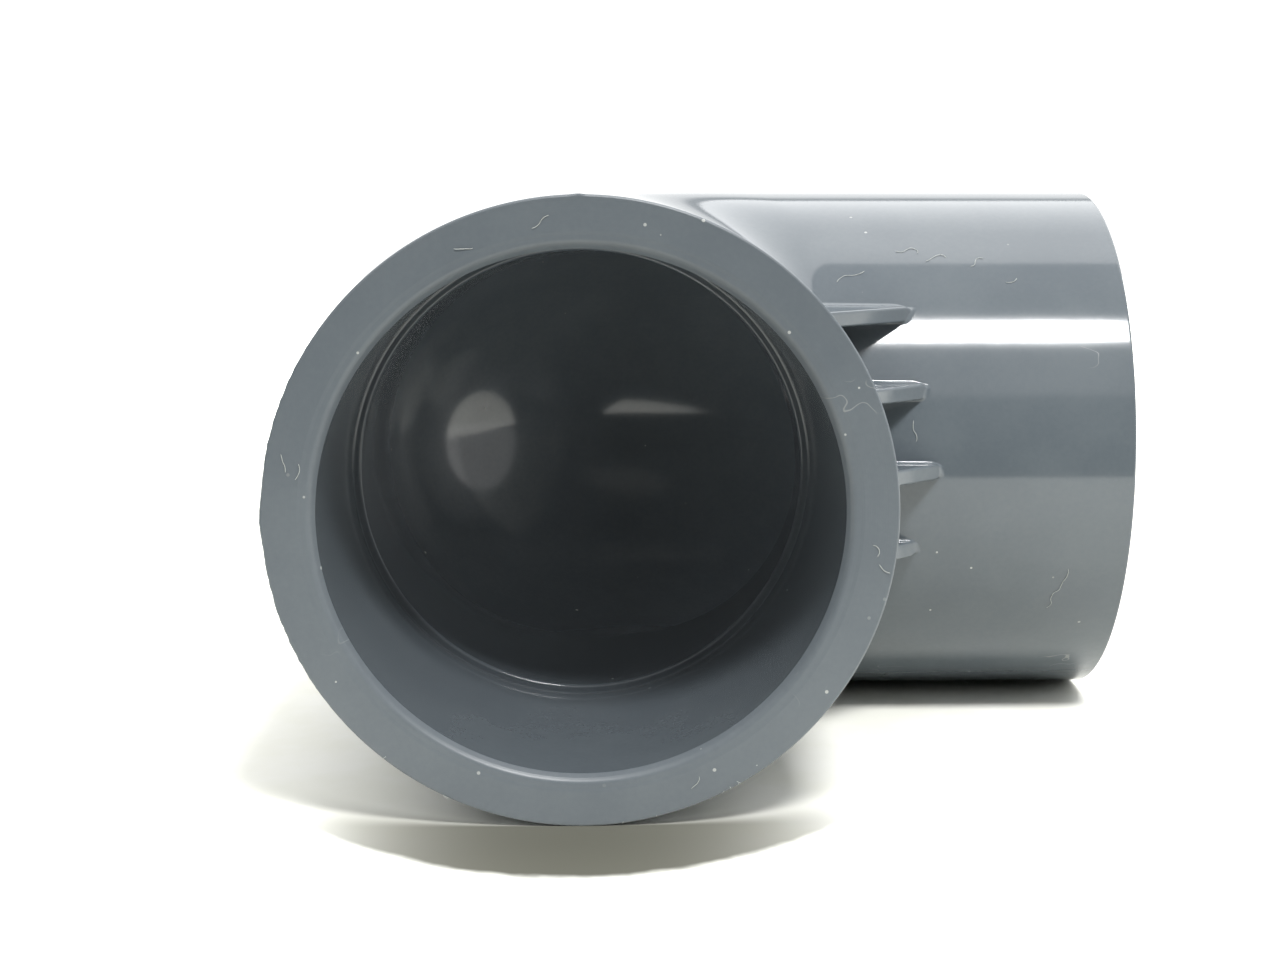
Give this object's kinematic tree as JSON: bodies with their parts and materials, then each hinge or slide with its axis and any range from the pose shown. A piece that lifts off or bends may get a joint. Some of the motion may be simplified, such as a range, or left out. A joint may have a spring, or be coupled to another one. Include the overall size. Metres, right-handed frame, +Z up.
{
  "type": "pipe elbow fitting",
  "caption": "Dark grey PVC 90 degree pipe elbow with plain solvent-weld sockets, an internal pipe stop ledge in each socket and small gussets across the throat.",
  "frame": {"origin": "under the middle of the part, on the plane it lies on", "axes": "+Z up and square to both socket axes, front socket opens to -Y, side socket opens to +X"},
  "size_m": [0.1102, 0.1102, 0.073],
  "materials": {
    "front_socket": "moulded PVC, satin gloss",
    "side_socket": "moulded PVC, satin gloss",
    "front_pipe_stop": "moulded PVC, glossy bore",
    "side_pipe_stop": "moulded PVC, glossy bore",
    "bend_body": "moulded PVC, satin gloss",
    "throat_rib_1": "moulded PVC, satin gloss",
    "throat_rib_2": "moulded PVC, satin gloss",
    "throat_rib_3": "moulded PVC, satin gloss",
    "throat_rib_4": "moulded PVC, satin gloss"
  },
  "bodies": {
    "root": {"front_socket": "front_socket", "side_socket": "side_socket", "front_pipe_stop": "front_pipe_stop", "side_pipe_stop": "side_pipe_stop", "bend_body": "bend_body", "throat_rib_1": "throat_rib_1", "throat_rib_2": "throat_rib_2", "throat_rib_3": "throat_rib_3", "throat_rib_4": "throat_rib_4"}
  },
  "joints": []
}
